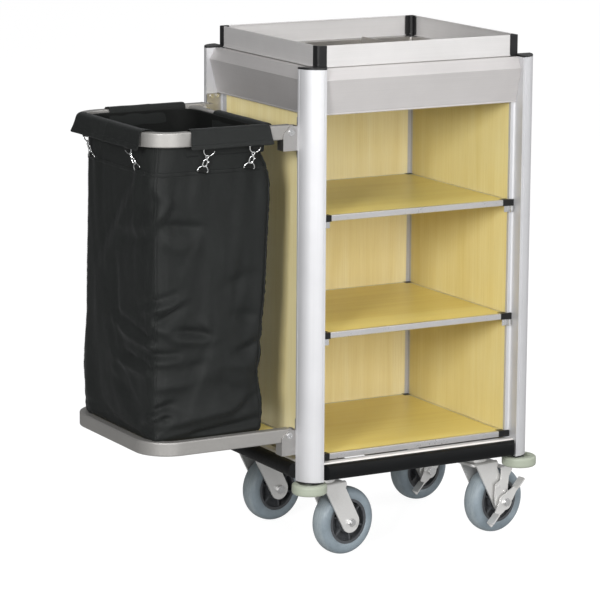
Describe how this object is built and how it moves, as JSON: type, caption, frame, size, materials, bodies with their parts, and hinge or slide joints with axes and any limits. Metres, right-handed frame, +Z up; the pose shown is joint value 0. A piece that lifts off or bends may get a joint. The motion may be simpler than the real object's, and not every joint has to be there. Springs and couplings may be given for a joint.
{
  "type": "housekeeping cart",
  "caption": "Open-front housekeeping cabinet cart on swivel casters, with shelves, a gallery top tray, a fold-up laundry bag frame and a fold-up bag platform.",
  "frame": {"origin": "on the floor under the middle of the whole cart's bounding box", "axes": "+X along the open front, away from the laundry bag; +Y from the open front to the back panel; +Z up"},
  "size_m": [0.9557, 0.532, 1.1245],
  "materials": {
    "post_aluminium": "satin anodised",
    "header_aluminium": "satin anodised",
    "gallery_aluminium": "satin anodised",
    "tray_metal": "matt grey",
    "trim_aluminium": "satin anodised",
    "black_plastic": "fine grain",
    "wood_laminate": "pale yellow maple laminate, satin",
    "bumper_rubber": "smooth black",
    "deck_steel": "satin grey",
    "bracket_metal": "satin silver grey",
    "frame_tube": "satin silver grey",
    "bright_steel": "bright zinc",
    "chrome": "polished",
    "bag_fabric": "heavy woven polyester",
    "zinc_steel": "satin zinc plate",
    "hub_plastic": "moulded dark grey",
    "tyre_grey": "smooth blue-grey elastomer",
    "roller_plastic": "pale grey-green"
  },
  "bodies": {
    "cabinet": {"corner_post_fl": "post_aluminium", "corner_post_fr": "post_aluminium", "corner_post_rl": "post_aluminium", "corner_post_rr": "post_aluminium", "post_caps": "black_plastic", "post_end_plugs": "black_plastic", "side_panel_left": "wood_laminate", "side_panel_right": "wood_laminate", "back_panel": "wood_laminate", "header_rails": "header_aluminium", "top_tray": "tray_metal", "tray_divider": "tray_metal", "gallery_panels": "gallery_aluminium", "gallery_corners": "black_plastic", "upper_shelf": "wood_laminate", "middle_shelf": "wood_laminate", "bottom_shelf": "wood_laminate", "shelf_trims": "trim_aluminium", "shelf_corner_blocks": "black_plastic", "shelf_clips": "bright_steel", "base_rails": "trim_aluminium", "base_deck": "deck_steel", "bumper_strips": "bumper_rubber", "bag_frame_brackets": "bracket_metal", "platform_brackets": "bracket_metal", "bracket_screws": "bright_steel", "hinge_pivot_bolts": "bright_steel", "caster_plates": "zinc_steel", "roller_bolts": "bright_steel"},
    "bag_frame": {"bag_frame_tube": "frame_tube", "laundry_bag": "bag_fabric", "snap_hooks": "chrome"},
    "bag_platform": {"platform_tube": "frame_tube", "platform_board": "wood_laminate", "platform_edge_trim": "trim_aluminium", "platform_edge_seal": "bumper_rubber"},
    "caster_fl": {"caster_fork_fl": "zinc_steel", "wheel_axle_fl": "bright_steel"},
    "wheel_fl": {"wheel_hub_fl": "hub_plastic", "wheel_tyre_fl": "tyre_grey"},
    "caster_fr": {"caster_fork_fr": "zinc_steel", "wheel_axle_fr": "bright_steel", "brake_housing_fr": "zinc_steel"},
    "wheel_fr": {"wheel_hub_fr": "hub_plastic", "wheel_tyre_fr": "tyre_grey"},
    "brake_fr": {"brake_pedal_fr": "zinc_steel"},
    "caster_rl": {"caster_fork_rl": "zinc_steel", "wheel_axle_rl": "bright_steel"},
    "wheel_rl": {"wheel_hub_rl": "hub_plastic", "wheel_tyre_rl": "tyre_grey"},
    "caster_rr": {"caster_fork_rr": "zinc_steel", "wheel_axle_rr": "bright_steel", "brake_housing_rr": "zinc_steel"},
    "wheel_rr": {"wheel_hub_rr": "hub_plastic", "wheel_tyre_rr": "tyre_grey"},
    "brake_rr": {"brake_pedal_rr": "zinc_steel"},
    "roller_fl": {"bumper_roller_fl": "roller_plastic"},
    "roller_fr": {"bumper_roller_fr": "roller_plastic"},
    "roller_rl": {"bumper_roller_rl": "roller_plastic"},
    "roller_rr": {"bumper_roller_rr": "roller_plastic"}
  },
  "joints": [
    {"name": "caster_swivel_fl", "type": "hinge", "parent": "cabinet", "child": "caster_fl", "pos_m": [-0.041, -0.16, 0.173], "axis": [0, 0, 1], "continuous": true},
    {"name": "wheel_spin_fl", "type": "hinge", "parent": "caster_fl", "child": "wheel_fl", "pos_m": [0.01415, -0.15028, 0.075], "axis": [-0.1736, 0.9848, 0], "continuous": true},
    {"name": "caster_swivel_fr", "type": "hinge", "parent": "cabinet", "child": "caster_fr", "pos_m": [0.348, -0.16, 0.173], "axis": [0, 0, 1], "continuous": true},
    {"name": "wheel_spin_fr", "type": "hinge", "parent": "caster_fr", "child": "wheel_fr", "pos_m": [0.40315, -0.15028, 0.075], "axis": [-0.1736, 0.9848, 0], "continuous": true},
    {"name": "brake_pedal_hinge_fr", "type": "hinge", "parent": "caster_fr", "child": "brake_fr", "pos_m": [0.41039, -0.19134, 0.075], "axis": [-0.1736, 0.9848, 0], "range_deg": [0, 22]},
    {"name": "caster_swivel_rl", "type": "hinge", "parent": "cabinet", "child": "caster_rl", "pos_m": [-0.041, 0.16, 0.173], "axis": [0, 0, 1], "continuous": true},
    {"name": "wheel_spin_rl", "type": "hinge", "parent": "caster_rl", "child": "wheel_rl", "pos_m": [0.01415, 0.16972, 0.075], "axis": [-0.1736, 0.9848, 0], "continuous": true},
    {"name": "caster_swivel_rr", "type": "hinge", "parent": "cabinet", "child": "caster_rr", "pos_m": [0.348, 0.16, 0.173], "axis": [0, 0, 1], "continuous": true},
    {"name": "wheel_spin_rr", "type": "hinge", "parent": "caster_rr", "child": "wheel_rr", "pos_m": [0.40315, 0.16972, 0.075], "axis": [-0.1736, 0.9848, 0], "continuous": true},
    {"name": "brake_pedal_hinge_rr", "type": "hinge", "parent": "caster_rr", "child": "brake_rr", "pos_m": [0.41039, 0.12866, 0.075], "axis": [-0.1736, 0.9848, 0], "range_deg": [0, 22]},
    {"name": "bag_frame_fold", "type": "hinge", "parent": "cabinet", "child": "bag_frame", "pos_m": [-0.1495, 0, 0.945], "axis": [0, 1, 0], "range_deg": [0, 90], "deforming": ["laundry_bag"]},
    {"name": "platform_fold", "type": "hinge", "parent": "cabinet", "child": "bag_platform", "pos_m": [-0.1495, 0, 0.293], "axis": [0, 1, 0], "range_deg": [0, 90], "deforming": ["laundry_bag"]},
    {"name": "roller_spin_fl", "type": "hinge", "parent": "cabinet", "child": "roller_fl", "pos_m": [-0.113, -0.228, 0.179], "axis": [0, 0, 1], "continuous": true},
    {"name": "roller_spin_fr", "type": "hinge", "parent": "cabinet", "child": "roller_fr", "pos_m": [0.42, -0.228, 0.179], "axis": [0, 0, 1], "continuous": true},
    {"name": "roller_spin_rl", "type": "hinge", "parent": "cabinet", "child": "roller_rl", "pos_m": [-0.113, 0.228, 0.179], "axis": [0, 0, 1], "continuous": true},
    {"name": "roller_spin_rr", "type": "hinge", "parent": "cabinet", "child": "roller_rr", "pos_m": [0.42, 0.228, 0.179], "axis": [0, 0, 1], "continuous": true}
  ]
}
